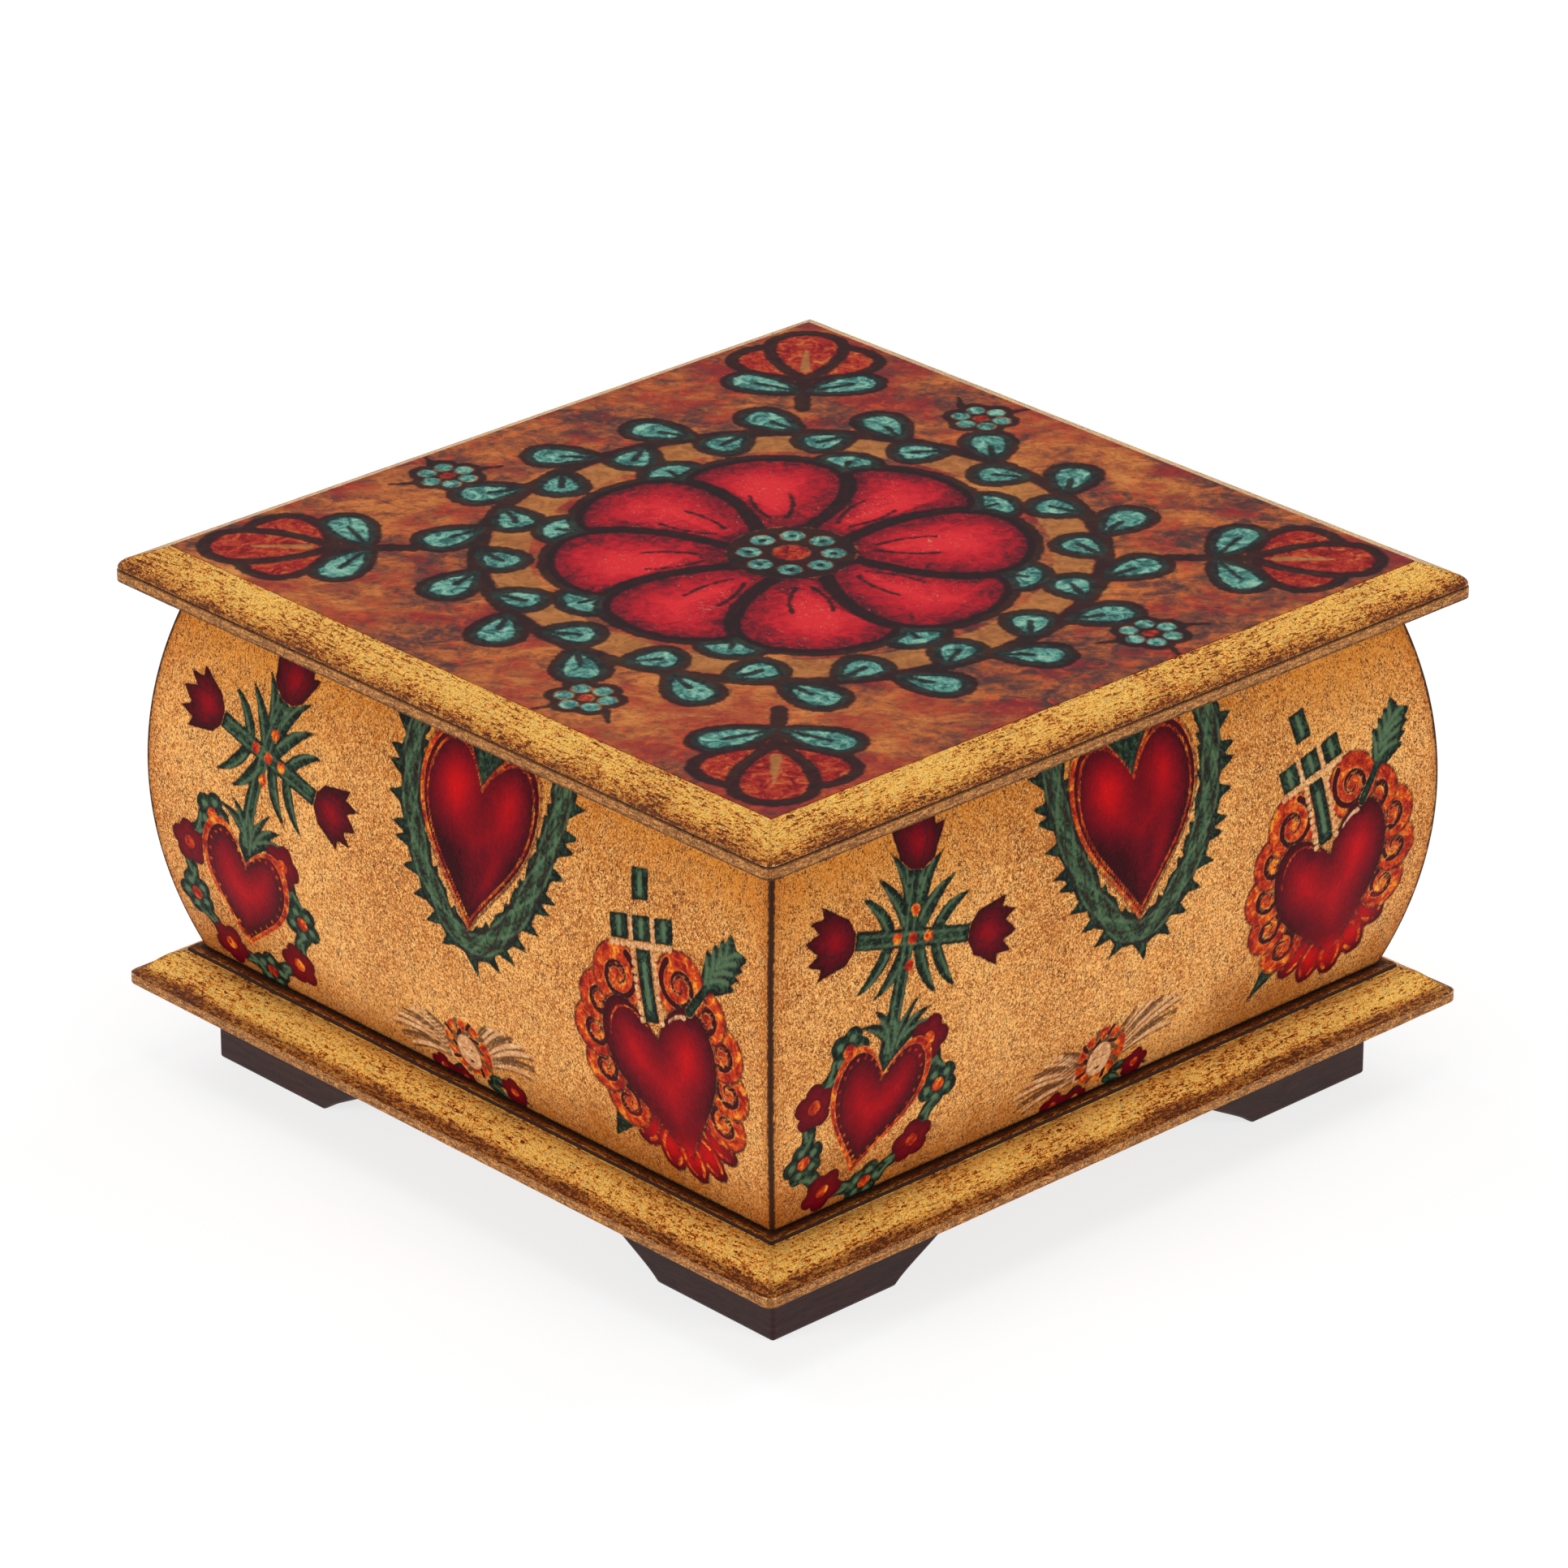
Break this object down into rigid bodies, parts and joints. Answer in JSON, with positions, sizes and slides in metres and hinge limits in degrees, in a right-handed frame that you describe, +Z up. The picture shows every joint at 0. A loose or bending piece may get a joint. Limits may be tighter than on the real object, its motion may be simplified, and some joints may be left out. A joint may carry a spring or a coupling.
{
  "type": "decoupage wooden box",
  "caption": "Square wooden keepsake box with bowed decoupage walls, a moulded gold base board on bracket feet and a moulded lid that lifts off.",
  "frame": {"origin": "middle of the box on the surface that it stands on", "axes": "+Z up, sides along X and Y, front wall facing -Y, left wall facing -X"},
  "size_m": [0.1522, 0.1522, 0.0905],
  "materials": {
    "dark_stain": "dark brown stain, satin",
    "antique_gold": "antiqued gold paint over wood, speckled and worn, satin varnish",
    "decoupage_wall": "printed paper glued on and varnished satin, edges toned brown",
    "printed_lid": "printed paper on top, antiqued gold moulded edge, satin varnish"
  },
  "bodies": {
    "root": {"foot_front_left": "dark_stain", "foot_front_right": "dark_stain", "foot_back_right": "dark_stain", "foot_back_left": "dark_stain", "base_board": "antique_gold", "wall_front": "decoupage_wall", "wall_right": "decoupage_wall", "wall_back": "decoupage_wall", "wall_left": "decoupage_wall", "lid": "printed_lid"}
  },
  "joints": []
}
